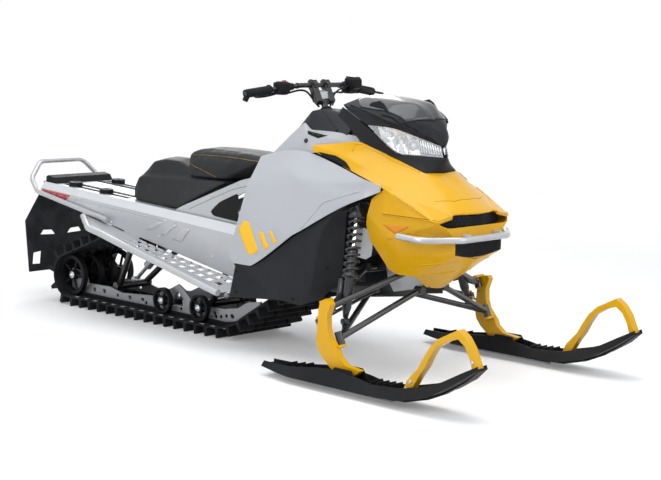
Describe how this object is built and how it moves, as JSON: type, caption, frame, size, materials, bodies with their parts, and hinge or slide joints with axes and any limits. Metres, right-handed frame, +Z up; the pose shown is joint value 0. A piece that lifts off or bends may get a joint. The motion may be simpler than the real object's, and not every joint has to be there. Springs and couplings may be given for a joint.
{
  "type": "snowmobile",
  "caption": "Deep-snow snowmobile: a long lugged track under a sheet-metal tunnel, a faceted body, two steered skis with loops, a stepped seat and raised bars.",
  "frame": {"origin": "on the ground at the middle of the overall length and width", "axes": "+X forward, +Y to the rider's left, +Z up"},
  "size_m": [3.194, 1.146, 1.1629],
  "materials": {
    "yellow_plastic": "gloss",
    "grey_plastic": "satin",
    "charcoal_plastic": "matte",
    "dark_plastic": "satin",
    "tunnel_metal": "brushed",
    "silver_paint": "satin",
    "black_paint": "satin",
    "rail_metal": "anodised",
    "slider_plastic": "matte",
    "track_rubber": "matte",
    "seat_vinyl": "grained",
    "flap_rubber": "matte",
    "lens_clear": "polished",
    "lens_red": "gloss",
    "steel": "ground",
    "spring_steel": "satin",
    "grip_rubber": "matte",
    "dark_steel": "satin",
    "cast_metal": "cast"
  },
  "bodies": {
    "chassis": {"track": "track_rubber", "skid_rails": "rail_metal", "sliders": "slider_plastic", "skid_wheels": "dark_plastic", "skid_arms": "black_paint", "skid_shocks": "steel", "drive_axle": "dark_plastic", "tunnel": "tunnel_metal", "cargo_sockets": "dark_plastic", "deck_strips": "dark_plastic", "running_boards": "tunnel_metal", "board_edges": "silver_paint", "rear_bumper": "silver_paint", "snow_flap": "flap_rubber", "tail_lights": "lens_red", "seat_base": "seat_vinyl", "seat_cushion": "seat_vinyl", "side_frames": "silver_paint", "console": "dark_plastic", "knee_panels": "grey_plastic", "side_panels": "grey_plastic", "lower_panels": "charcoal_plastic", "hood": "yellow_plastic", "nose": "yellow_plastic", "headlight_surround": "charcoal_plastic", "headlight_lens": "lens_clear", "deflector": "charcoal_plastic", "grille": "charcoal_plastic", "front_bumper": "silver_paint", "engine": "cast_metal", "bulkhead": "black_paint", "lower_arms": "black_paint", "upper_arms": "black_paint", "front_shocks": "dark_steel", "front_springs": "spring_steel"},
    "handlebar_unit": {"handlebar": "black_paint", "grips": "grip_rubber", "riser": "black_paint", "controls": "dark_plastic", "kill_button": "lens_red"},
    "spindle_right": {"spindle_right": "yellow_plastic"},
    "spindle_left": {"spindle_left": "yellow_plastic"},
    "tie_rod_right": {"tie_rod_right": "black_paint"},
    "tie_rod_left": {"tie_rod_left": "black_paint"},
    "ski_right": {"ski_blade_right": "dark_plastic", "ski_loop_right": "yellow_plastic", "ski_runner_right": "steel"},
    "ski_left": {"ski_blade_left": "dark_plastic", "ski_loop_left": "yellow_plastic", "ski_runner_left": "steel"}
  },
  "joints": [
    {"name": "steering", "type": "hinge", "parent": "chassis", "child": "handlebar_unit", "pos_m": [0.289, 0, 1.139], "axis": [-0.3827, 0, 0.9239], "range_deg": [-38, 38]},
    {"name": "steer_right", "type": "hinge", "parent": "chassis", "child": "spindle_right", "pos_m": [0.868, -0.452, 0.189], "axis": [-0.4019, 0, 0.9157], "range_deg": [-31, 31]},
    {"name": "ski_pitch_right", "type": "hinge", "parent": "spindle_right", "child": "ski_right", "pos_m": [0.945, -0.495, 0.056], "axis": [0, 1, 0], "range_deg": [-15, 15], "stiffness_Nm_per_rad": 60},
    {"name": "tie_rod_turn_right", "type": "hinge", "parent": "spindle_right", "child": "tie_rod_right", "pos_m": [0.77, -0.47, 0.245], "axis": [-0.4019, 0, 0.9157], "range_deg": [-31, 31]},
    {"name": "steer_left", "type": "hinge", "parent": "chassis", "child": "spindle_left", "pos_m": [0.868, 0.452, 0.189], "axis": [-0.4019, 0, 0.9157], "range_deg": [-31, 31]},
    {"name": "ski_pitch_left", "type": "hinge", "parent": "spindle_left", "child": "ski_left", "pos_m": [0.945, 0.495, 0.056], "axis": [0, 1, 0], "range_deg": [-15, 15], "stiffness_Nm_per_rad": 60},
    {"name": "tie_rod_turn_left", "type": "hinge", "parent": "spindle_left", "child": "tie_rod_left", "pos_m": [0.77, 0.47, 0.245], "axis": [-0.4019, 0, 0.9157], "range_deg": [-31, 31]}
  ],
  "couplings": [
    {"joint": "steer_right", "follows": "steering", "ratio": 0.8},
    {"joint": "tie_rod_turn_right", "follows": "steering", "ratio": -0.8},
    {"joint": "steer_left", "follows": "steering", "ratio": 0.8},
    {"joint": "tie_rod_turn_left", "follows": "steering", "ratio": -0.8}
  ]
}
